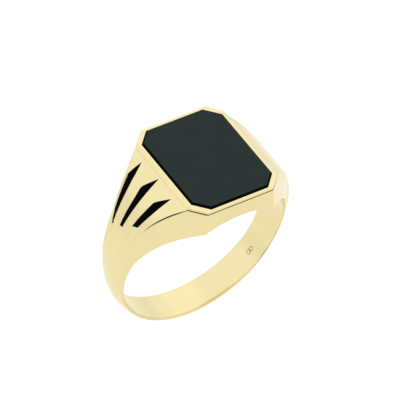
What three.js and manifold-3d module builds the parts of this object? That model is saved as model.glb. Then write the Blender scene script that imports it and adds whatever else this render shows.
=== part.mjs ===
// Signet ring: a gold body with an octagonal onyx in a thin frame, and three black enamel rays
// on one shoulder. Millimetres. The finger runs along Y through the origin, the stone faces +Z
// and the shoulders are at -X and +X.

import * as THREE from 'three';
import { mergeVertices } from 'three/addons/utils/BufferGeometryUtils.js';
import Module from 'manifold-3d';

const wasm = await Module();
wasm.setup();

// ---------- driving dimensions ----------

const LIP_RADIUS = 9.86;          // finger hole at its front and back edges
const FINGER_RADIUS = 9.8;        // finger hole at the middle of its width
const LIP_CURL = 4;               // the higher, the flatter the hole's middle and the later it curls out
const GAP = 0.015;                // clearance between pieces that touch
const FAR = 20;                   // longer than anything on the ring

const STONE = { halfX: 5.0, halfY: 6.23, cut: 1.5, rimZ: 11.87, proud: 0.2, bevel: 0.2, thick: 1.55 };
const CEMENT = { thick: 0.1, margin: 0.1 };
const FRAME = { halfX: 5.6, halfY: 6.53, cut: 1.6, height: 0.36, flatHalfX: 5.25, lip: 0.05 };
const DECK_Z = STONE.rimZ - FRAME.height;

// The head's long front and back walls run to a corner, and the frame's cut corner runs on
// down to the hole.
const WALL_CORNER = { edgeX: 4.06, holeAngle: 25.4, holeHalf: 6.91 };
const EDGE_BREAK = 0.1;

// The ring from the head's outer corner round to the back of the finger. Angles are in degrees
// from the top.
// hole: half width where the side meets the finger hole. angle, radius, half: the section's outer corner.
// crown: how far the middle stands above that corner. soft: how far from the corner its rounding starts.
const SECTIONS = [
  { at: 34.6, hole: 5.86, angle: 25.95, radius: 12.80, half: 4.93, crown: 0.00, soft: 0.10 },
  { at: 43.0, hole: 4.94, angle: 32.4, radius: 12.58, half: 4.10, crown: 0.01, soft: 0.10 },
  { at: 52.0, hole: 4.10, angle: 39.7, radius: 12.28, half: 3.36, crown: 0.02, soft: 0.11 },
  { at: 62.0, hole: 3.33, angle: 47.1, radius: 11.94, half: 2.77, crown: 0.04, soft: 0.12 },
  { at: 73.0, hole: 2.66, angle: 57.5, radius: 11.38, half: 2.27, crown: 0.10, soft: 0.14 },
  { at: 90.0, hole: 2.16, angle: 84.0, radius: 10.30, half: 1.98, crown: 0.22, soft: 0.15 },
  { at: 115.0, hole: 1.85, angle: 114.0, radius: 10.10, half: 1.72, crown: 0.38, soft: 0.14 },
  { at: 145.0, hole: 1.84, angle: 145.0, radius: 10.18, half: 1.70, crown: 0.42, soft: 0.14 },
  { at: 180.0, hole: 1.86, angle: 180.0, radius: 10.28, half: 1.70, crown: 0.42, soft: 0.14 },
];

// Enamel rays on the -X shoulder, laid out on the plane that leans down from the deck's end: x is
// the way down from the deck, y is along the finger. Each runs from a sharp tip to a rounded heel
// and then narrows to its foot. upper and lower are the points its two long sides bow towards.
const RAY_SLOPE = THREE.MathUtils.degToRad(53);
const RAY_REACH = 1.5;            // how far a ray's cutter stands off that plane, each way
const RAY_DEPTH = 0.45;
const RAY_SUNK = 0.03;
const HEEL_ROUND = { top: 0.15, side: 0.3 };   // how much of each edge beside a heel is rounded off
const RAYS = [
  { name: 'back', tip: [0.42, 3.14], heel: [2.24, 3.36], foot: [[7.45, 1.60], [7.40, 1.50]],
    upper: [4.9, 2.50], lower: [3.4, 1.75] },
  { name: 'middle', tip: [0.18, 0.20], heel: [2.10, 1.05], foot: [[6.80, 0.48], [6.72, 0.06]],
    upper: [3.6, 0.60], lower: [3.2, -0.18] },
  { name: 'front', tip: [0.50, -2.64], heel: [2.10, -1.44], foot: [[5.72, -1.02], [5.30, -1.74]],
    upper: [3.9, -1.33], lower: [3.1, -2.32] },
];

// ---------- fineness of curved surfaces ----------

const SIDE_ANGLE = 90;            // where the shoulder's steps end and the shank's begin
const BACK_ANGLE = 180;
const STEPS = { deck: 8, wallCorner: 4, shoulder: 20, shank: 22, edge: 4, raySide: 7, rayHeel: 3 };
const HOLE_SHARES = [0.5, 0.75, 0.9];
const SHARPEST_MITRE = 0.35;      // limits how far an inset corner may move

const MATERIALS = {
  gold: { color: 0xe8cf8a, roughness: 0.12, metalness: 1 },
  onyx: { color: 0x14191a, roughness: 0.08, metalness: 0 },
  enamel: { color: 0x050506, roughness: 0.1, metalness: 0 },
  cement: { color: 0x6f6a5c, roughness: 0.8, metalness: 0 },
};

// ---------- helpers ----------

function weld(geometry) {
  geometry.deleteAttribute('normal');
  geometry.deleteAttribute('uv');
  return mergeVertices(geometry);
}

function solid(geometry) {
  const welded = weld(geometry);
  return new wasm.Manifold(new wasm.Mesh({
    numProp: 3,
    vertProperties: new Float32Array(welded.attributes.position.array),
    triVerts: new Uint32Array(welded.index.array),
  }));
}

function geometryOf(body) {
  const mesh = body.getMesh();
  const geometry = new THREE.BufferGeometry();
  geometry.setAttribute('position', new THREE.BufferAttribute(new Float32Array(mesh.vertProperties), 3));
  geometry.setIndex(new THREE.BufferAttribute(new Uint32Array(mesh.triVerts), 1));
  return geometry;
}

function mirrorX(geometry) {
  const mirrored = weld(geometry.clone()).scale(-1, 1, 1);
  const corners = mirrored.index.array;
  for (let i = 0; i < corners.length; i += 3) {
    [corners[i], corners[i + 1]] = [corners[i + 1], corners[i]];
  }
  return mirrored;
}

function octagon(halfX, halfY, cut) {
  return [[halfX, halfY - cut], [halfX - cut, halfY], [cut - halfX, halfY], [-halfX, halfY - cut],
    [-halfX, cut - halfY], [cut - halfX, -halfY], [halfX - cut, -halfY], [halfX, cut - halfY]]
    .map(([x, y]) => new THREE.Vector2(x, y));
}

function prism(outline, zLow, zHigh) {
  const shape = new THREE.Shape(outline);
  const bar = new THREE.ExtrudeGeometry(shape, { depth: zHigh - zLow, bevelEnabled: false });
  return bar.translate(0, 0, zLow);
}

// Moves every side of an anticlockwise outline inwards by the same distance.
function shrunk(outline, distance) {
  const count = outline.length;
  return outline.map((point, i) => {
    const before = point.clone().sub(outline[(i + count - 1) % count]).normalize();
    const after = outline[(i + 1) % count].clone().sub(point).normalize();
    const inward = new THREE.Vector2(-before.y - after.y, before.x + after.x).normalize();
    const sine = Math.max(SHARPEST_MITRE, inward.dot(new THREE.Vector2(-after.y, after.x)));
    return point.clone().addScaledVector(inward, distance / sine);
  });
}

// Joins closed loops of the same number of points into one closed skin round the finger.
function loft(loops) {
  const count = loops[0].length;
  const index = [];
  loops.forEach((loop, i) => {
    const next = (i + 1) % loops.length;
    for (let j = 0; j < count; j++) {
      const k = (j + 1) % count;
      index.push(i * count + j, i * count + k, next * count + k);
      index.push(i * count + j, next * count + k, next * count + j);
    }
  });
  const geometry = new THREE.BufferGeometry();
  const positions = loops.flat().flatMap((point) => point.toArray());
  geometry.setAttribute('position', new THREE.Float32BufferAttribute(positions, 3));
  geometry.setIndex(index);
  return geometry;
}

// ---------- ring body ----------

const sectionRows = SECTIONS.map((s) => [s.hole, s.angle, s.radius, s.half, s.crown, s.soft]);
const sectionAngles = SECTIONS.map((s) => s.at);
const sectionCurve = new THREE.CubicInterpolant(sectionAngles, sectionRows.flat(), sectionRows[0].length);

const onCircle = (degrees, radius) => {
  const angle = THREE.MathUtils.degToRad(degrees);
  return new THREE.Vector2(radius * Math.sin(angle), radius * Math.cos(angle));
};

// The section whose side meets the finger hole at this angle from the top, as seen from the front (x, z).
function sectionAt(angle) {
  const head = SECTIONS[0];
  if (angle >= head.at) {
    const [hole, edgeAngle, radius, half, crown, soft] = sectionCurve.evaluate(angle);
    return { edge: onCircle(edgeAngle, radius), hole, half, crown, soft };
  }
  const { edgeX, holeAngle, holeHalf } = WALL_CORNER;
  if (angle <= holeAngle) {
    const share = onCircle(angle, 1).x / onCircle(holeAngle, 1).x;
    const edge = new THREE.Vector2(edgeX * share, DECK_Z);
    return { edge, hole: holeHalf, half: FRAME.halfY, crown: 0, soft: EDGE_BREAK };
  }
  const along = (angle - holeAngle) / (head.at - holeAngle);
  return {
    edge: new THREE.Vector2(edgeX, DECK_Z).lerp(new THREE.Vector2(FRAME.halfX, DECK_Z), along),
    hole: THREE.MathUtils.lerp(holeHalf, head.hole, along),
    half: THREE.MathUtils.lerp(FRAME.halfY, head.half, along),
    crown: 0,
    soft: EDGE_BREAK,
  };
}

// One closed loop of points across the ring, with its outside pressed in by an inset.
function sectionLoop(angle, side, inset) {
  const { edge, hole, half, crown, soft } = sectionAt(angle);
  const low = onCircle(angle, LIP_RADIUS);
  const outward = edge.clone().normalize();
  const high = edge.clone().addScaledVector(outward, -inset);
  const round = soft / Math.hypot(high.distanceTo(low), hole - half);
  const onSide = (share) => {
    const point = high.clone().lerp(low, share);
    return new THREE.Vector3(point.x, half + (hole - half) * share, point.y);
  };
  const onTop = (y) => {
    const point = high.clone().addScaledVector(outward, crown * (1 - (y / half) ** 2));
    return new THREE.Vector3(point.x, y, point.y);
  };
  const topStart = half - soft;
  const corner = new THREE.QuadraticBezierCurve3(onSide(round), onSide(0), onTop(topStart));
  const inHole = (share) => {
    const point = onCircle(angle, LIP_RADIUS - (LIP_RADIUS - FINGER_RADIUS) * (1 - share ** LIP_CURL));
    return new THREE.Vector3(point.x, hole * share, point.y);
  };
  const edgePoints = corner.getPoints(STEPS.edge);
  const front = [...HOLE_SHARES.map(inHole), onSide(1), ...edgePoints, onTop(topStart / 2)];
  const back = front.map((point) => point.clone().setY(-point.y)).reverse();
  return [inHole(0), ...front, onTop(0), ...back].map((point) => point.setX(side * point.x));
}

function blank(inset) {
  const { holeAngle } = WALL_CORNER;
  const headEnd = SECTIONS[0].at;
  const spread = (from, to, steps) => {
    const step = (to - from) / steps;
    return Array.from({ length: steps }, (unused, i) => from + step * i);
  };
  const angles = [
    ...spread(0, holeAngle, STEPS.deck),
    ...spread(holeAngle, headEnd, STEPS.wallCorner),
    ...spread(headEnd, SIDE_ANGLE, STEPS.shoulder),
    ...spread(SIDE_ANGLE, BACK_ANGLE, STEPS.shank),
  ];
  const right = [...angles, BACK_ANGLE].map((angle) => sectionLoop(angle, 1, inset));
  const left = angles.slice(1).reverse().map((angle) => sectionLoop(angle, -1, inset));
  return solid(loft([...right, ...left]));
}

// The plane of a shoulder's rays: x down the slope, y along the finger, z out of the shoulder.
function onSlope(geometry) {
  return geometry.rotateY(RAY_SLOPE).translate(FRAME.halfX, 0, DECK_Z);
}

// A ray's outline from its foot along the lower side to the tip, round the heel and down the upper side.
function rayOutline({ tip, heel, foot, upper, lower }) {
  const point = ([x, y]) => new THREE.Vector2(x, y);
  const bow = (from, towards, to, steps) => {
    const curve = new THREE.QuadraticBezierCurve(from, towards, to);
    return curve.getPoints(steps);
  };
  const lowerSide = bow(point(foot[1]), point(lower), point(tip), STEPS.raySide);
  const upperSide = bow(point(heel), point(upper), point(foot[0]), STEPS.raySide);
  const heelStart = point(heel).lerp(point(tip), HEEL_ROUND.top);
  const heelEnd = point(heel).lerp(upperSide[1], HEEL_ROUND.side);
  const heelRound = bow(heelStart, point(heel), heelEnd, STEPS.rayHeel);
  return [...lowerSide, ...heelRound, ...upperSide.slice(1)].reverse();
}

function rayTool(outline) {
  return onSlope(prism(outline, -RAY_REACH, RAY_REACH));
}

const blankBody = blank(0);
const enamelSpace = blank(RAY_SUNK);
const cellFloor = blank(RAY_DEPTH);
const enamelFloor = blank(RAY_DEPTH - GAP);

function inlay(ray) {
  const tool = mirrorX(rayTool(shrunk(rayOutline(ray), GAP)));
  return solid(tool).intersect(enamelSpace).subtract(enamelFloor);
}

function ringBody() {
  const seatZ = STONE.rimZ + STONE.proud - STONE.thick - CEMENT.thick - GAP;
  const pocket = prism(octagon(STONE.halfX + GAP, STONE.halfY + GAP, STONE.cut), seatZ, FAR);
  let body = blankBody.subtract(solid(pocket));
  for (const ray of RAYS) {
    body = body.subtract(solid(mirrorX(rayTool(rayOutline(ray)))).subtract(cellFloor));
  }
  return body;
}

// ---------- head ----------

function bezelFrame() {
  const { halfX, halfY, cut, flatHalfX, lip } = FRAME;
  const low = DECK_Z + GAP;
  const outside = solid(prism(octagon(halfX, halfY, cut), low, STONE.rimZ));
  const opening = solid(prism(octagon(STONE.halfX + GAP, STONE.halfY + GAP, STONE.cut), low - FAR, FAR));
  const aboveSlope = [
    [flatHalfX, STONE.rimZ], [halfX, low + lip], [FAR, low + lip], [FAR, FAR], [flatHalfX, FAR],
  ].map(([x, z]) => new THREE.Vector2(x, z));
  const wedge = prism(aboveSlope, -FAR, FAR).rotateX(Math.PI / 2);
  return outside.subtract(opening).subtract(solid(wedge.clone())).subtract(solid(mirrorX(wedge)));
}

// The plate's upper edge is bevelled all round. Its lower edge is square.
function onyxPlate() {
  const { halfX, halfY, cut, rimZ, proud, bevel, thick } = STONE;
  const outline = new THREE.Shape(octagon(halfX, halfY, cut));
  const top = rimZ + proud;
  const stock = new THREE.ExtrudeGeometry(outline, {
    depth: thick, bevelThickness: bevel, bevelSize: bevel, bevelOffset: -bevel, bevelSegments: 1,
  }).translate(0, 0, top - bevel - thick);
  const waste = prism(octagon(FAR, FAR, cut), top - FAR, top - thick);
  return solid(stock).subtract(solid(waste));
}

function cementBed() {
  const top = STONE.rimZ + STONE.proud - STONE.thick - GAP;
  const outline = octagon(STONE.halfX - CEMENT.margin, STONE.halfY - CEMENT.margin, STONE.cut);
  return solid(prism(outline, top - CEMENT.thick + GAP, top));
}

// ---------- assembly ----------

const ring = new THREE.Group();

function addPiece(name, body, material) {
  const mesh = new THREE.Mesh(geometryOf(body), new THREE.MeshStandardMaterial(material));
  mesh.name = name;
  ring.add(mesh);
}

addPiece('ring_body', ringBody(), MATERIALS.gold);
addPiece('bezel_frame', bezelFrame(), MATERIALS.gold);
addPiece('onyx_plate', onyxPlate(), MATERIALS.onyx);
addPiece('cement_bed', cementBed(), MATERIALS.cement);
for (const ray of RAYS) {
  addPiece(`enamel_${ray.name}`, inlay(ray), MATERIALS.enamel);
}

export default ring;
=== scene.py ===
# Signet ring, finished for the render: the gold body, its frame, the onyx and the enamel are rebuilt
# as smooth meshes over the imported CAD. Lengths are millimetres in the tables and metres in Blender.

import math

import bmesh
import bpy
import numpy as np
from mathutils import Matrix, Vector

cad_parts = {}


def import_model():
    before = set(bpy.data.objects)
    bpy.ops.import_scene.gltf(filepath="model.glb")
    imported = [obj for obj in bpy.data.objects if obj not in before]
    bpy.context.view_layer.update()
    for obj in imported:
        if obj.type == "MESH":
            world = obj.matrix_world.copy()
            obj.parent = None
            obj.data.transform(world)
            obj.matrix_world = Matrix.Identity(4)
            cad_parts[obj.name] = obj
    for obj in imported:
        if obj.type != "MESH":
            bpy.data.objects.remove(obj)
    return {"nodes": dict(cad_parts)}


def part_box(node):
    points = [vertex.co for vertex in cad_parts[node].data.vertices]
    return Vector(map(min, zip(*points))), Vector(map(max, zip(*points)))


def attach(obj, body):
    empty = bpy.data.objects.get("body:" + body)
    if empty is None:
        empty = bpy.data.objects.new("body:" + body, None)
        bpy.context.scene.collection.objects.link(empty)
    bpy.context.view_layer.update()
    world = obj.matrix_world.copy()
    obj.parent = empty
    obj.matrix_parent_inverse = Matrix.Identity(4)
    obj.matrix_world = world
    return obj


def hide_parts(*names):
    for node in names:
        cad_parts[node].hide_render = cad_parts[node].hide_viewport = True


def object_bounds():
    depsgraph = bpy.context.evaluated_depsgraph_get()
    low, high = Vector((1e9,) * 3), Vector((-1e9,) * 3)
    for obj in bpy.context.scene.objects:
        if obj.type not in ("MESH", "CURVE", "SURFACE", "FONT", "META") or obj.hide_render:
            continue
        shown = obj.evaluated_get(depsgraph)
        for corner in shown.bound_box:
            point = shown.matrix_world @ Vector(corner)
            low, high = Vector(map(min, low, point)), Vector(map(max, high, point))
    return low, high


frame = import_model()
cad_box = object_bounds()

MM = 0.001

# ---------- sizes read from the frame ----------

frame_high, stone_high, body_high = (
    np.array(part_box(name)[1]) / MM for name in ("bezel_frame", "onyx_plate", "ring_body")
)
cement_low = np.array(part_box("cement_bed")[0]) / MM

GAP = 0.015                 # between one piece and its neighbour
DECK_Z = body_high[2]
RIM_Z = frame_high[2]
FRAME_X, FRAME_Y = frame_high[0], frame_high[1]
STONE_X, STONE_Y = stone_high[0], stone_high[1]
STONE_CUT = 1.5
FRAME_CUT = 1.6

# ---------- the ring's shape, as the CAD lays it out ----------

LIP_RADIUS = 9.86           # of the hole at its two rims
FINGER_RADIUS = 9.8         # of the hole in its middle
LIP_CURL = 4                # the power by which the hole opens towards its rims
HEAD_CORNER = {"edge_x": 4.06, "angle": 25.4, "hole": 6.91}
HEAD_CORNER_EASE = 0.8      # degrees round the hole, to each side of a corner
HEAD_END_EASE = 0.35

# hole angle from the top, half width at the hole, then the outer corner's angle, radius and half
# width, the crown, and how far from the corner its rounding starts
SECTIONS = np.array([
    [34.6, 5.86, 25.95, 12.80, 4.93, 0.00, 0.13],
    [43.0, 4.94, 32.4, 12.58, 4.10, 0.01, 0.30],
    [52.0, 4.10, 39.7, 12.28, 3.36, 0.02, 0.28],
    [62.0, 3.33, 47.1, 11.94, 2.77, 0.04, 0.22],
    [73.0, 2.66, 57.5, 11.38, 2.27, 0.10, 0.20],
    [90.0, 2.16, 84.0, 10.30, 1.98, 0.22, 0.18],
    [115.0, 1.85, 114.0, 10.10, 1.72, 0.38, 0.16],
    [145.0, 1.84, 145.0, 10.18, 1.70, 0.42, 0.16],
    [180.0, 1.86, 180.0, 10.28, 1.70, 0.42, 0.16],
])

RAY_SLOPE = math.radians(53)
# Each ray on a plane leaning down the shoulder: (distance down, y). upper and lower are the points
# that its long sides bow towards.
RAYS = {
    "front": {"tip": (0.50, -2.64), "heel": (2.10, -1.44), "foot": ((5.72, -1.02), (5.30, -1.74)),
              "upper": (3.9, -1.33), "lower": (3.1, -2.32)},
    "middle": {"tip": (0.18, 0.20), "heel": (2.10, 1.05), "foot": ((6.80, 0.48), (6.72, 0.06)),
               "upper": (3.6, 0.60), "lower": (3.2, -0.18)},
    "back": {"tip": (0.42, 3.14), "heel": (2.24, 3.36), "foot": ((7.45, 1.60), (7.40, 1.50)),
             "upper": (4.9, 2.50), "lower": (3.4, 1.75)},
}
RAY_ORDER = ("front", "middle", "back")
HEEL_ROUND = 0.22           # share of the way from heel to tip where the heel's rounding starts
CURVE_STEPS, HEEL_STEPS, HEEL_END = 40, 8, 3
CELL_DEPTH = 0.45
CELL_LIP = 0.05             # rounding of a cell's rim, smaller where the ray narrows
CELL_LIP_LEAST = 0.004
LIP_FLAT = 0.03             # flat strip that leads into a rounding
LIP_FULL_WIDTH = 0.12       # ray width at which its rim has the full rounding
CELL_FULL_WIDTH = 0.08      # ray width at which its cell is fully deep
ENAMEL_SUNK = 0.025
ENAMEL_CLIMB = 0.01         # how far the enamel climbs at the walls
ENAMEL_LEAST_WIDTH = 0.06
FLUTE_DEPTH = 0.14
FLUTE_WIDTH = 0.27
FLUTE_RISE = 0.6            # a flute starts this far above its ray's foot
FLUTE_FULL = 0.2            # and is fully deep this far below it
FLUTE_HOLD = 2.0            # degrees past the foot where it starts to fade
FLUTE_END = 88.0            # degrees round the hole where it has faded out


def on_circle(degrees, radius):
    angle = np.radians(degrees)
    return np.stack([radius * np.sin(angle), radius * np.cos(angle)], axis=-1)


def smooth_rows(angle):
    """The section table at one hole angle, by cubic pieces."""
    at, values = SECTIONS[:, 0], SECTIONS[:, 1:]
    secant = np.diff(values, axis=0) / np.diff(at)[:, None]
    slope = np.vstack([secant[:1], (secant[1:] + secant[:-1]) / 2, secant[-1:]])
    i = int(np.clip(np.searchsorted(at, angle) - 1, 0, len(at) - 2))
    step = at[i + 1] - at[i]
    p = (angle - at[i]) / step
    return (
        (2 * p**3 - 3 * p**2 + 1) * values[i] + (p**3 - 2 * p**2 + p) * step * slope[i]
        + (3 * p**2 - 2 * p**3) * values[i + 1] + (p**3 - p**2) * step * slope[i + 1]
    )


def raw_section(angle):
    """[edge x, edge z, half width at the hole, half width at the edge, crown, rounding]."""
    first = SECTIONS[0]
    if angle >= first[0]:
        hole, edge_angle, radius, half, crown, soft = smooth_rows(angle)
        x, z = on_circle(edge_angle, radius)
        return np.array([x, z, hole, half, crown, soft])
    corner = HEAD_CORNER
    if angle <= corner["angle"]:
        x = corner["edge_x"] * math.sin(math.radians(angle)) / math.sin(math.radians(corner["angle"]))
        return np.array([x, DECK_Z, corner["hole"], FRAME_Y, 0.0, first[6]])
    along = (angle - corner["angle"]) / (first[0] - corner["angle"])
    wall = np.array([corner["edge_x"], DECK_Z, corner["hole"], FRAME_Y, 0.0, first[6]])
    head_end = np.array([FRAME_X, DECK_Z, first[1], first[4], 0.0, first[6]])
    return wall + (head_end - wall) * along


def section(angle):
    """The section with the head's two corners eased over a short stretch, so that they catch the light."""
    for corner, reach in ((HEAD_CORNER["angle"], HEAD_CORNER_EASE), (SECTIONS[0, 0], HEAD_END_EASE)):
        if abs(angle - corner) < reach:
            t = (angle - corner + reach) / (2 * reach)
            before, middle, after = (raw_section(a) for a in (corner - reach, corner, corner + reach))
            return (1 - t) ** 2 * before + 2 * t * (1 - t) * middle + t * t * after
    return raw_section(angle)


# ---------- ray outlines across a shoulder ----------


def bezier(a, b, c, count):
    t = np.linspace(0, 1, count)[:, None]
    return (1 - t) ** 2 * a + 2 * t * (1 - t) * b + t * t * c


def ray_polygon(ray):
    """The outline from the foot along the lower side to the tip, round the heel and down the upper side."""
    tip, heel, upper, lower = (np.array(ray[k]) for k in ("tip", "heel", "upper", "lower"))
    foot_upper, foot_lower = np.array(ray["foot"])
    side = bezier(heel, upper, foot_upper, CURVE_STEPS)
    round_start = heel + (tip - heel) * HEEL_ROUND
    heel_round = bezier(round_start, heel, side[HEEL_END], HEEL_STEPS)
    return np.vstack([bezier(foot_lower, lower, tip, CURVE_STEPS), heel_round, side[HEEL_END + 1:]])


def ray_span(ray, down):
    """Lowest and highest y of the ray at one distance down the slope, or None where it has ended."""
    outline = ray_polygon(ray)
    crossings = []
    for a, b in zip(outline, np.roll(outline, -1, axis=0)):
        if min(a[0], b[0]) <= down < max(a[0], b[0]):
            crossings.append(a[1] + (b[1] - a[1]) * (down - a[0]) / (b[0] - a[0]))
    return (min(crossings), max(crossings)) if len(crossings) >= 2 else None


def slope_distance(edge_x, edge_z):
    """How far a point lies down the shoulder from the frame's edge, along the rays' plane."""
    return (edge_x - FRAME_X) * math.cos(RAY_SLOPE) - (edge_z - DECK_Z) * math.sin(RAY_SLOPE)


def ray_end(ray):
    """The lowest point of a ray: the upper corner of its foot."""
    return np.array(ray["foot"][0])


STATION_RUNS = (
    # first angle, last angle, how many sections
    (0, HEAD_CORNER["angle"] - 0.8, 26),
    (HEAD_CORNER["angle"] - 0.7, HEAD_CORNER["angle"] + 0.7, 9),
    (HEAD_CORNER["angle"] + 0.8, SECTIONS[0, 0] - 0.4, 24),
    (SECTIONS[0, 0] - 0.35, SECTIONS[0, 0] + 0.35, 9),
    (SECTIONS[0, 0] + 0.4, 82, 330),
    (82.4, 180, 150),
)


def pocket_half(x, z):
    """Half width of the stone's pocket at a point of the outside, or 0 away from it."""
    half_x, half_y = STONE_X + GAP, STONE_Y + GAP
    if x > half_x or z < 0:
        return 0.0
    return half_y - max(0.0, x - (half_x - STONE_CUT))


def build_stations():
    """Every section of one half, from the middle of the head to the back of the finger."""
    angles = np.concatenate([np.linspace(*run) for run in STATION_RUNS])
    rows = np.array([section(a) for a in angles])
    edges = rows[:, :2]
    tangent = np.gradient(edges, axis=0)
    tangent /= np.linalg.norm(tangent, axis=1, keepdims=True)
    stations = []
    for angle, row, tan in zip(angles, rows, tangent):
        stations.append({
            "angle": angle, "edge": row[:2], "hole": row[2], "half": row[3], "crown": row[4], "soft": row[5],
            "normal": np.array([-tan[1], tan[0]]), "down": slope_distance(*row[:2]),
        })
    return stations


STEEP = 1e-3                # the width of an upright step in a lofted surface


def split_pocket_end(stations):
    """Two sections close together where the pocket's end wall stands."""
    wall = STONE_X + GAP
    out = []
    for here, after in zip(stations, stations[1:]):
        out.append(here)
        if here["edge"][0] < wall <= after["edge"][0] and here["edge"][1] > 0:
            for x in (wall - STEEP, wall + STEEP):
                share = (x - here["edge"][0]) / (after["edge"][0] - here["edge"][0])
                mix = {k: here[k] + (after[k] - here[k]) * share for k in here}
                out.append(mix)
    return [*out, stations[-1]]


def smoothstep(low, high, value):
    t = np.clip((value - low) / (high - low), 0, 1)
    return t * t * (3 - 2 * t)


LIP_ROUND = 0.20            # rounding between the hole and the ring's sides
LIP_STEPS, EDGE_STEPS = 10, 13
HOLE_SHARES = (0.2, 0.38, 0.52, 0.64, 0.74, 0.82)
SIDE_SHARES = (0.75, 0.5, 0.25)
FILL = (8, 12, 12, 8)       # columns between the rays' groups of columns
POCKET_RIM = 0.01
EDGE_FLAT = 0.02
DECK_SHARE = 0.94           # where the pocket's columns run on the head beside the pocket
SLOPE_INSET = 0.08          # and on the shoulders, in from the rounded edge
LEAST_INSET = 0.03
RAY_ROOM = 0.06             # kept clear between a ray's rim and those columns
LEAST_RAY = 0.012           # the least distance between a ray's two sides' columns


def ray_lines(station):
    """Where each ray's two sides run at this section, kept in order even where the ray has ended."""
    lines = []
    for name in RAY_ORDER:
        ray = RAYS[name]
        span = ray_span(ray, station["down"])
        if span:
            lines.append((span[0], span[1], span[1] - span[0]))
            continue
        if station["down"] < ray["tip"][0]:
            y = ray["tip"][1]
        else:
            y = ray_end(ray)[1] * station["half"] / FOOT_HALF[name]
        lines.append((y, y, 0.0))
    return lines


def flute_depth(station, y):
    """Shallow hollows that carry on below the rays and fade out down the shank."""
    depth = np.zeros_like(y)
    for name in RAY_ORDER:
        upper, lower = np.array(RAYS[name]["foot"])
        past = station["down"] - max(upper[0], lower[0])
        if past < -FLUTE_RISE or station["down"] < 0:
            continue
        narrowing = station["half"] / FOOT_HALF[name]
        centre = (upper[1] + lower[1]) / 2 * narrowing
        width = FLUTE_WIDTH * narrowing
        rise = smoothstep(-FLUTE_RISE, FLUTE_FULL, past)
        fade = 1 - smoothstep(FOOT_ANGLE[name] + FLUTE_HOLD, FLUTE_END, station["angle"])
        depth += FLUTE_DEPTH * rise * fade * np.exp(-((y - centre) / width) ** 2)
    return depth


def top_columns(station, has_rays):
    """(y, depth) across the section's outside, from its back edge to its front edge."""
    reach = station["half"] - station["soft"]
    pocket = pocket_half(*station["edge"])
    in_deck = station["down"] <= 0
    pocket_line = pocket if pocket else reach * DECK_SHARE if in_deck else reach - SLOPE_INSET
    pocket_line = min(pocket_line, reach - LEAST_INSET)
    floor = DECK_Z - (cement_low[2] - GAP) if pocket else 0.0
    rim = [(reach, 0.0), (reach - EDGE_FLAT, 0.0), (pocket_line + POCKET_RIM, 0.0), (pocket_line, floor)]
    anchors = [[(-y, depth) for y, depth in rim]]
    for low, high, width in ray_lines(station):
        room = pocket_line - max(high, -low) - RAY_ROOM
        lip = max(CELL_LIP_LEAST, min(CELL_LIP * min(1.0, width / LIP_FULL_WIDTH), room))
        depth = CELL_DEPTH * smoothstep(0.0, CELL_FULL_WIDTH, width) if has_rays else 0.0
        lip_depth = min(lip, depth)
        gap = max(0.0, LEAST_RAY - (high - low)) / 2
        low, high = low - gap, high + gap
        # from the flat over the rounded lip and down the cell's wall, as (distance out, depth)
        wall = [(lip + LIP_FLAT, 0), (lip, 0), (0.6 * lip, 0.1 * lip_depth), (0.25 * lip, 0.34 * lip_depth),
                (0, lip_depth), (-CELL_LIP_LEAST, depth)]
        side_in = [(low - out, floor + down) for out, down in wall]
        side_out = [(high + out, floor + down) for out, down in wall[::-1]]
        anchors.append([*side_in, *side_out])
    anchors.append(rim[::-1])
    columns = list(anchors[0])
    for fill, (previous, group) in zip(FILL, zip(anchors, anchors[1:])):
        start, end = previous[-1], group[0]
        for t in np.linspace(0, 1, fill + 2)[1:-1]:
            columns.append((start[0] + (end[0] - start[0]) * t, floor))
        columns += group
    table = np.array(columns)
    if has_rays:
        table[:, 1] += flute_depth(station, table[:, 0])
    else:
        inner = slice(len(anchors[0]), -len(anchors[-1]))
        count = len(table[inner])
        table[inner, 0] = np.linspace(-pocket_line, pocket_line, count + 2)[1:-1]
    return table


def section_loop(station, has_rays):
    """One closed loop of (x, y, z) points across the ring, in millimetres."""
    low = on_circle(station["angle"], LIP_RADIUS)
    edge, hole, half = station["edge"], station["hole"], station["half"]
    crown, soft = station["crown"], station["soft"]
    outward = edge / np.linalg.norm(edge)

    def in_hole(share):
        radius = LIP_RADIUS - (LIP_RADIUS - FINGER_RADIUS) * (1 - share**LIP_CURL)
        x, z = on_circle(station["angle"], radius)
        return np.array([x, hole * share, z])

    def on_side(share):
        x, z = edge + (low - edge) * share
        return np.array([x, half + (hole - half) * share, z])

    def on_top(y, depth=0.0):
        x, z = edge + outward * crown * (1 - (y / half) ** 2) - station["normal"] * depth
        return np.array([x, y, z])

    side_length = np.linalg.norm(on_side(0) - on_side(1))
    lip_share = LIP_ROUND / side_length
    edge_share = soft / side_length
    lip_start = 1 - LIP_ROUND / hole
    lip = bezier(in_hole(lip_start), in_hole(1), on_side(1 - lip_share), LIP_STEPS)
    edge_round = bezier(on_side(edge_share), on_side(0), on_top(half - soft), EDGE_STEPS)
    hole_points = [in_hole(s * lip_start / HOLE_SHARES[-1]) for s in HOLE_SHARES[:-1]]
    hole_points.append(in_hole(lip_start - LIP_FLAT / hole))
    side_end = 1 - lip_share - LIP_FLAT / side_length
    side_start = edge_share + LIP_FLAT / side_length
    side_shares = [side_start + (side_end - side_start) * t for t in SIDE_SHARES]
    side_points = [on_side(s) for s in (side_end, *side_shares, side_start)]
    half_loop = [*hole_points, *lip, *side_points, *edge_round[:-1]]
    top = [on_top(y, d) for y, d in top_columns(station, has_rays)[::-1]]
    mirrored = [p * np.array([1, -1, 1]) for p in half_loop][::-1]
    return np.array([in_hole(0), *half_loop, *top, *mirrored])


# ---------- Blender helpers ----------


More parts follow.
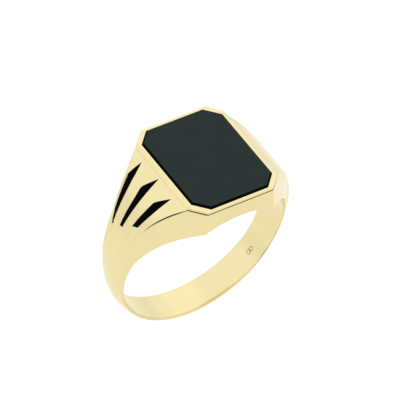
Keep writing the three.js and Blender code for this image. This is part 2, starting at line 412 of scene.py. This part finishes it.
def mesh_piece(name, points, faces, material_slot, *replaced):
    mesh = bpy.data.meshes.new(name)
    mesh.from_pydata([tuple(p * MM) for p in points], [], faces)
    mesh.polygons.foreach_set("use_smooth", [True] * len(mesh.polygons))
    mesh.update()
    piece = bpy.data.objects.new(name, mesh)
    bpy.context.scene.collection.objects.link(piece)
    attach(piece, "root")
    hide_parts(*replaced)
    return piece


def loft_faces(loops, count, closed):
    """Faces between one loop of count points and the next, and from the last to the first if closed."""
    faces = []
    for i in range(loops if closed else loops - 1):
        following = (i + 1) % loops
        for j in range(count):
            k = (j + 1) % count
            faces.append((i * count + j, i * count + k, following * count + k, following * count + j))
    return faces


# ---------- gold body ----------

stations = build_stations()
FOOT_HALF, FOOT_ANGLE = {}, {}
for ray_name in RAY_ORDER:
    foot_station = min(stations, key=lambda s: abs(s["down"] - ray_end(RAYS[ray_name])[0]))
    FOOT_HALF[ray_name] = foot_station["half"]
    FOOT_ANGLE[ray_name] = foot_station["angle"]
stations = split_pocket_end(stations)


def gold_body():
    """A closed loft round the finger, with the rays' cells and flutes on the left shoulder only."""
    right = [section_loop(s, False) for s in stations]
    left = [section_loop(s, True) * np.array([-1, 1, 1]) for s in stations[1:-1]][::-1]
    loops = [*right, *left]
    faces = loft_faces(len(loops), len(loops[0]), True)
    return mesh_piece("gold_body", np.vstack(loops), faces, "gold", "ring_body")


# ---------- enamel ----------

ENAMEL_SHARES = (0, 0.06, 0.2, 0.4, 0.6, 0.8, 0.94, 1)


def enamel_loop(station, low, high):
    """A slice of enamel: a slightly hollow top between the cell's walls, and a flat bottom."""
    low, high = low + GAP, high - GAP
    edge, half = station["edge"], station["half"]
    outward = edge / np.linalg.norm(edge)
    points = []
    for share in ENAMEL_SHARES:
        y = low + (high - low) * share
        climb = (2 * abs(share - 0.5)) ** 6
        depth = ENAMEL_SUNK - ENAMEL_CLIMB * climb
        x, z = edge + outward * station["crown"] * (1 - (y / half) ** 2) - station["normal"] * depth
        points.append((x, y, z))
    for y in (high, low):
        x, z = edge - station["normal"] * (CELL_DEPTH - GAP)
        points.append((x, y, z))
    return np.array(points)


def enamel_piece(name):
    ray = RAYS[name]
    loops = []
    for station in stations:
        span = ray_span(ray, station["down"]) if station["angle"] > SECTIONS[0, 0] else None
        if span and span[1] - span[0] > ENAMEL_LEAST_WIDTH:
            loops.append(enamel_loop(station, *span))
    count, last = len(loops[0]), len(loops) - 1
    points = np.vstack(loops) * np.array([-1, 1, 1])
    faces = loft_faces(len(loops), count, False)
    faces.append(tuple(range(count - 1, -1, -1)))
    faces.append(tuple(last * count + j for j in range(count)))
    return mesh_piece(f"enamel_ray_{name}", points, faces, "enamel", f"enamel_{name}")


# ---------- frame and stone: the CAD solid with its edges eased ------------------


FLAT_ANGLE, SHARP_ANGLE = math.radians(1), math.radians(12)
WELD = 1e-7


def eased_copy(name, node, material_slot, width, segments):
    mesh = frame["nodes"][node].data.copy()
    mesh.name = name
    work = bmesh.new()
    work.from_mesh(mesh)
    bmesh.ops.remove_doubles(work, verts=work.verts, dist=WELD)
    bmesh.ops.dissolve_limit(work, angle_limit=FLAT_ANGLE, verts=work.verts, edges=work.edges)
    sharp = [e for e in work.edges if e.calc_face_angle(0) > SHARP_ANGLE]
    bmesh.ops.bevel(work, geom=sharp, offset=width * MM, segments=segments, profile=0.5, affect="EDGES",
                    clamp_overlap=True)
    work.to_mesh(mesh)
    work.free()
    mesh.materials.clear()
    mesh.polygons.foreach_set("use_smooth", [True] * len(mesh.polygons))
    piece = bpy.data.objects.new(name, mesh)
    bpy.context.scene.collection.objects.link(piece)
    weighted = piece.modifiers.new("flat_faces", "WEIGHTED_NORMAL")
    weighted.keep_sharp = True
    weighted.weight = 100
    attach(piece, "root")
    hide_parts(node)
    return piece


# ---------- materials ----------


def new_material(name):
    material = bpy.data.materials.new(name)
    material.use_nodes = True
    nodes = material.node_tree.nodes
    return material, nodes, material.node_tree.links, nodes["Principled BSDF"]


def node(nodes, kind, **values):
    """A new node; each value goes to the input of that name, or else to the node's own setting."""
    made = nodes.new(kind)
    for key, value in values.items():
        if key in made.inputs:
            made.inputs[key].default_value = value
        else:
            setattr(made, key.lower(), value)
    return made


GOLD_TINTS = ((0.815, 0.70, 0.365, 1), (0.835, 0.72, 0.385, 1))
MARK_COLOUR = (0.30, 0.22, 0.09, 1)
# painted shade: the gold is darkened in a band along the joint of frame and head, on its two ends, standing
# in for the shadowed groove there
JOINT_PAINTED_SHADE = (0.22, 0.16, 0.065, 1)
JOINT_SHADE_WIDTH, JOINT_SHADE_RISE = 0.17, 0.01          # painted shade: the dark line where the frame meets the head, its width and rise in mm
MIX_FIRST, MIX_SECOND, MIX_RESULT = 6, 7, 2     # a Mix node's colour sockets
MARK_ANGLE, MARK_Y = 126.0, -0.11          # where the maker's mark is struck inside the shank
MARK_LOOP, MARK_STEP, MARK_LINE, MARK_REACH = 0.26, 0.19, 0.08, 0.3


def mark_mask(nodes, links, position):
    """1 along two small linked loops struck into the hole's surface, and 0 elsewhere."""
    x, z = on_circle(MARK_ANGLE, FINGER_RADIUS)
    place = nodes.new("ShaderNodeMapping")
    place.vector_type = "TEXTURE"
    place.inputs["Location"].default_value = (x * MM, MARK_Y * MM, z * MM)
    place.inputs["Rotation"].default_value = (0, math.radians(MARK_ANGLE), 0)
    links.new(position, place.inputs["Vector"])
    loops = []
    for step in (-MARK_STEP, MARK_STEP):
        shift = node(nodes, "ShaderNodeVectorMath", operation="MULTIPLY_ADD")
        shift.inputs[1].default_value = (1, 1, 0)
        shift.inputs[2].default_value = (step * MM, 0, 0)
        links.new(place.outputs["Vector"], shift.inputs[0])
        length = node(nodes, "ShaderNodeVectorMath", operation="LENGTH")
        links.new(shift.outputs["Vector"], length.inputs[0])
        line = node(nodes, "ShaderNodeMath", operation="COMPARE")
        line.inputs[1].default_value = MARK_LOOP * MM
        line.inputs[2].default_value = MARK_LINE / 2 * MM
        links.new(length.outputs["Value"], line.inputs[0])
        loops.append(line.outputs["Value"])
    either = node(nodes, "ShaderNodeMath", operation="MAXIMUM")
    links.new(loops[0], either.inputs[0])
    links.new(loops[1], either.inputs[1])
    parts = nodes.new("ShaderNodeSeparateXYZ")
    links.new(place.outputs["Vector"], parts.inputs["Vector"])
    near = node(nodes, "ShaderNodeMath", operation="COMPARE")
    near.inputs[2].default_value = MARK_REACH * MM
    near.inputs[1].default_value = 0.0
    links.new(parts.outputs["Z"], near.inputs[0])
    mask = node(nodes, "ShaderNodeMath", operation="MULTIPLY")
    links.new(either.outputs["Value"], mask.inputs[0])
    links.new(near.outputs["Value"], mask.inputs[1])
    return mask.outputs["Value"]


def joint_shade_mask(nodes, links, position):
    """1 along the fine line of painted shade where the frame sits on the head's two ends, and 0 elsewhere.
    """
    parts = nodes.new("ShaderNodeSeparateXYZ")
    links.new(position, parts.inputs["Vector"])
    line = node(nodes, "ShaderNodeMath", operation="COMPARE")
    line.inputs[1].default_value = (DECK_Z + JOINT_SHADE_RISE) * MM
    line.inputs[2].default_value = JOINT_SHADE_WIDTH / 2 * MM
    links.new(parts.outputs["Z"], line.inputs[0])
    side = node(nodes, "ShaderNodeMath", operation="ABSOLUTE")
    links.new(parts.outputs["Y"], side.inputs[0])
    end = node(nodes, "ShaderNodeMath", operation="GREATER_THAN")
    links.new(side.outputs["Value"], end.inputs[0])
    end.inputs[1].default_value = (FRAME_Y - FRAME_CUT) * MM
    both = node(nodes, "ShaderNodeMath", operation="MULTIPLY")
    links.new(line.outputs["Value"], both.inputs[0])
    links.new(end.outputs["Value"], both.inputs[1])
    return both.outputs["Value"]


def gold_material():
    material, nodes, links, shader = new_material("polished_gold")
    shader.inputs["Metallic"].default_value = 1.0
    where = nodes.new("ShaderNodeTexCoord")
    # broad, faint differences of tint
    tint = node(nodes, "ShaderNodeTexNoise", Scale=260.0, Detail=3.0)
    links.new(where.outputs["Object"], tint.inputs["Vector"])
    colours = nodes.new("ShaderNodeValToRGB")
    colours.color_ramp.elements[0].position, colours.color_ramp.elements[1].position = 0.3, 0.7
    for stop, colour in zip(colours.color_ramp.elements, GOLD_TINTS):
        stop.color = colour
    links.new(tint.outputs["Fac"], colours.inputs["Fac"])
    mark = mark_mask(nodes, links, where.outputs["Object"])
    joint_shade = joint_shade_mask(nodes, links, where.outputs["Object"])
    colour = colours.outputs["Color"]
    # the maker's mark is its own dark colour; the line at the joint is painted shade
    for mask, dark in ((mark, MARK_COLOUR), (joint_shade, JOINT_PAINTED_SHADE)):
        shaded = node(nodes, "ShaderNodeMix", data_type="RGBA")
        links.new(mask, shaded.inputs["Factor"])
        links.new(colour, shaded.inputs[MIX_FIRST])
        shaded.inputs[MIX_SECOND].default_value = dark
        colour = shaded.outputs[MIX_RESULT]
    links.new(colour, shader.inputs["Base Color"])
    # fine polishing lines along the ring
    stretch = nodes.new("ShaderNodeMapping")
    stretch.inputs["Scale"].default_value = (1.0, 9.0, 1.0)
    links.new(where.outputs["Object"], stretch.inputs["Vector"])
    lines = node(nodes, "ShaderNodeTexNoise", Scale=2600.0, Detail=4.0, Roughness=0.6)
    links.new(stretch.outputs["Vector"], lines.inputs["Vector"])
    gloss = nodes.new("ShaderNodeMapRange")
    gloss.inputs["To Min"].default_value = 0.07
    gloss.inputs["To Max"].default_value = 0.16
    links.new(lines.outputs["Fac"], gloss.inputs["Value"])
    links.new(gloss.outputs["Result"], shader.inputs["Roughness"])
    bump = node(nodes, "ShaderNodeBump", Strength=0.04, Distance=0.00002)
    links.new(lines.outputs["Fac"], bump.inputs["Height"])
    links.new(bump.outputs["Normal"], shader.inputs["Normal"])
    return material


# tints, lowest and highest roughness, and specular level
TABLE_ONYX = (((0.0008, 0.0085, 0.0060, 1), (0.0020, 0.0150, 0.0110, 1)), (0.05, 0.11), 0.17)
# darker than real ground onyx: its specular level is set far below a stone's, so the sloping edge shows
# nearly black
GROUND_ONYX = (((0.0005, 0.0008, 0.0007, 1), (0.0010, 0.0014, 0.0012, 1)), (0.30, 0.42), 0.02)


def onyx_material(name, tints, roughness, gloss_level):
    material, nodes, links, shader = new_material(name)
    where = nodes.new("ShaderNodeTexCoord")
    cloud = node(nodes, "ShaderNodeTexNoise", Scale=320.0, Detail=5.0, Roughness=0.55)
    links.new(where.outputs["Object"], cloud.inputs["Vector"])
    colours = nodes.new("ShaderNodeValToRGB")
    for stop, colour in zip(colours.color_ramp.elements, tints):
        stop.color = colour
    links.new(cloud.outputs["Fac"], colours.inputs["Fac"])
    links.new(colours.outputs["Color"], shader.inputs["Base Color"])
    gloss = nodes.new("ShaderNodeMapRange")
    gloss.inputs["To Min"].default_value, gloss.inputs["To Max"].default_value = roughness
    links.new(cloud.outputs["Fac"], gloss.inputs["Value"])
    links.new(gloss.outputs["Result"], shader.inputs["Roughness"])
    shader.inputs["IOR"].default_value = 1.54
    shader.inputs["Specular IOR Level"].default_value = gloss_level
    return material


def enamel_material():
    material, nodes, links, shader = new_material("black_enamel")
    where = nodes.new("ShaderNodeTexCoord")
    specks = node(nodes, "ShaderNodeTexVoronoi", Scale=2600.0)
    links.new(where.outputs["Object"], specks.inputs["Vector"])
    colours = nodes.new("ShaderNodeValToRGB")
    colours.color_ramp.elements[0].position, colours.color_ramp.elements[1].position = 0.05, 0.09
    colours.color_ramp.elements[0].color = (0.05, 0.035, 0.03, 1)
    colours.color_ramp.elements[1].color = (0.0008, 0.0008, 0.0012, 1)
    links.new(specks.outputs["Distance"], colours.inputs["Fac"])
    links.new(colours.outputs["Color"], shader.inputs["Base Color"])
    ripple = node(nodes, "ShaderNodeTexNoise", Scale=900.0, Detail=2.0)
    links.new(where.outputs["Object"], ripple.inputs["Vector"])
    bump = node(nodes, "ShaderNodeBump", Strength=0.15, Distance=0.00002)
    links.new(ripple.outputs["Fac"], bump.inputs["Height"])
    links.new(bump.outputs["Normal"], shader.inputs["Normal"])
    shader.inputs["Roughness"].default_value = 0.04
    shader.inputs["Specular IOR Level"].default_value = 0.02
    return material


def cement_material():
    material, nodes, links, shader = new_material("setting_cement")
    where = nodes.new("ShaderNodeTexCoord")
    grain = node(nodes, "ShaderNodeTexNoise", Scale=1500.0, Detail=6.0)
    links.new(where.outputs["Object"], grain.inputs["Vector"])
    colours = nodes.new("ShaderNodeValToRGB")
    colours.color_ramp.elements[0].color = (0.11, 0.10, 0.08, 1)
    colours.color_ramp.elements[1].color = (0.20, 0.18, 0.15, 1)
    links.new(grain.outputs["Fac"], colours.inputs["Fac"])
    links.new(colours.outputs["Color"], shader.inputs["Base Color"])
    shader.inputs["Roughness"].default_value = 0.8
    return material


# ---------- pieces ----------

TABLE_TILT = 0.97           # a face of the stone whose normal is more upright than this is its table
FRAME_BEVEL, STONE_BEVEL = (0.035, 3), (0.02, 2)    # width and segments

gold, enamel, cement = gold_material(), enamel_material(), cement_material()
onyx = onyx_material("polished_onyx", *TABLE_ONYX)
ground_onyx = onyx_material("ground_onyx", *GROUND_ONYX)
gold_body().data.materials.append(gold)
eased_copy("gold_bezel", "bezel_frame", "gold", *FRAME_BEVEL).data.materials.append(gold)
stone = eased_copy("onyx_stone", "onyx_plate", "onyx", *STONE_BEVEL)
stone.data.materials.append(onyx)
stone.data.materials.append(ground_onyx)
for face in stone.data.polygons:
    face.material_index = 0 if face.normal.z > TABLE_TILT else 1
for ray_name in RAY_ORDER:
    enamel_piece(ray_name).data.materials.append(enamel)
cement_node = frame["nodes"]["cement_bed"]
cement_node.data.materials.clear()
cement_node.data.materials.append(cement)

# ---------- stage, light and camera ----------


FLOOR_RADIUS = 0.065
FLOOR_GLOW = 0.95
FLOOR_TINTS = ((0.075, 0.075, 0.075, 1), (0.085, 0.085, 0.085, 1))


def floor():
    """A small round light table: the tent's dark opening shows past its edge in the ring's rounded edges."""
    material, nodes, links, shader = new_material("pale_floor")
    where = nodes.new("ShaderNodeTexCoord")
    paper = node(nodes, "ShaderNodeTexNoise", Scale=900.0, Detail=4.0)
    links.new(where.outputs["Object"], paper.inputs["Vector"])
    colours = nodes.new("ShaderNodeValToRGB")
    for stop, colour in zip(colours.color_ramp.elements, FLOOR_TINTS):
        stop.color = colour
    links.new(paper.outputs["Fac"], colours.inputs["Fac"])
    links.new(colours.outputs["Color"], shader.inputs["Base Color"])
    shader.inputs["Roughness"].default_value = 0.9
    shader.inputs["Specular IOR Level"].default_value = 0.0
    shader.inputs["Emission Color"].default_value = (1, 1, 1, 1)
    shader.inputs["Emission Strength"].default_value = FLOOR_GLOW
    bpy.ops.mesh.primitive_circle_add(vertices=96, radius=FLOOR_RADIUS, fill_type="NGON",
                                      location=(0, 0, cad_box[0].z))
    plane = bpy.context.object
    plane.name = "floor"
    plane.data.materials.append(material)


TENT_COLOUR = (0.938, 0.950, 1.0, 1)
TENT_LEVEL, HORIZON_LEVEL, OPENING_LEVEL, SOFTBOX_LEVEL = 1.17, 1.06, 0.05, 1.25
HORIZON_RISE = (0.08, 0.35)         # how high the directions are between the two levels
SOFTBOX = {"towards": (0.42, 0.53, 0.74), "edge": (0.90, 0.98)}
OPENING = {"towards": (-0.90, -0.42, -0.09), "edge": (0.940, 0.978)}


def world():
    """A white light tent, dimmer at the horizon, with a bright panel overhead and a low dark opening."""
    sky = bpy.data.worlds.new("light_tent")
    sky.use_nodes = True
    bpy.context.scene.world = sky
    nodes, links = sky.node_tree.nodes, sky.node_tree.links
    where = nodes.new("ShaderNodeTexCoord")
    parts = nodes.new("ShaderNodeSeparateXYZ")
    links.new(where.outputs["Generated"], parts.inputs["Vector"])

    def eased(value, edge, before, after):
        """before below the edge's first value, after above its second, and a smooth step between."""
        level = node(nodes, "ShaderNodeMapRange", interpolation_type="SMOOTHSTEP")
        level.inputs["From Min"].default_value, level.inputs["From Max"].default_value = edge
        level.inputs["To Min"].default_value, level.inputs["To Max"].default_value = before, after
        links.new(value, level.inputs["Value"])
        return level.outputs["Result"]

    def facing(direction):
        dot = node(nodes, "ShaderNodeVectorMath", operation="DOT_PRODUCT")
        dot.inputs[1].default_value = Vector(direction).normalized()
        links.new(where.outputs["Generated"], dot.inputs[0])
        return dot.outputs["Value"]

    def combined(operation, first, second):
        both = node(nodes, "ShaderNodeMath", operation=operation)
        links.new(first, both.inputs[0])
        links.new(second, both.inputs[1])
        return both.outputs["Value"]

    wall = eased(parts.outputs["Z"], HORIZON_RISE, HORIZON_LEVEL, TENT_LEVEL)
    panel = eased(facing(SOFTBOX["towards"]), SOFTBOX["edge"], 1.0, SOFTBOX_LEVEL / TENT_LEVEL)
    gap = eased(facing(OPENING["towards"]), OPENING["edge"], 1.0, OPENING_LEVEL)
    strength = combined("MULTIPLY", combined("MULTIPLY", wall, panel), gap)
    nodes["Background"].inputs["Color"].default_value = TENT_COLOUR
    links.new(strength, nodes["Background"].inputs["Strength"])


AZIMUTH, ELEVATION, ROLL = math.radians(-40.02), math.radians(45.93), math.radians(9.76)
DISTANCE = 0.5246
SENSOR, LENS = 36, 457.11
NEAR, FAR = 0.01, 20
AIM_RIGHT, AIM_DOWN = -0.711, 4.235    # where the image's middle lies from the middle of the stone, in mm


def camera():
    back = Vector((math.sin(AZIMUTH) * math.cos(ELEVATION), -math.cos(AZIMUTH) * math.cos(ELEVATION),
                   math.sin(ELEVATION)))
    level = Vector((math.cos(AZIMUTH), math.sin(AZIMUTH), 0))
    rise = back.cross(level)
    right = level * math.cos(ROLL) + rise * math.sin(ROLL)
    up = back.cross(right)
    data = bpy.data.cameras.new("camera")
    data.sensor_width = SENSOR
    data.lens = LENS
    data.clip_start, data.clip_end = NEAR, FAR
    eye = bpy.data.objects.new("camera", data)
    aim = Vector((0, 0, RIM_Z * MM)) + right * AIM_RIGHT * MM - up * AIM_DOWN * MM
    place = Matrix((right, up, back)).transposed().to_4x4()
    place.translation = aim + back * DISTANCE
    eye.matrix_world = place
    bpy.context.scene.collection.objects.link(eye)
    bpy.context.scene.camera = eye


floor()
world()
camera()
bpy.context.scene.view_settings.view_transform = "Standard"
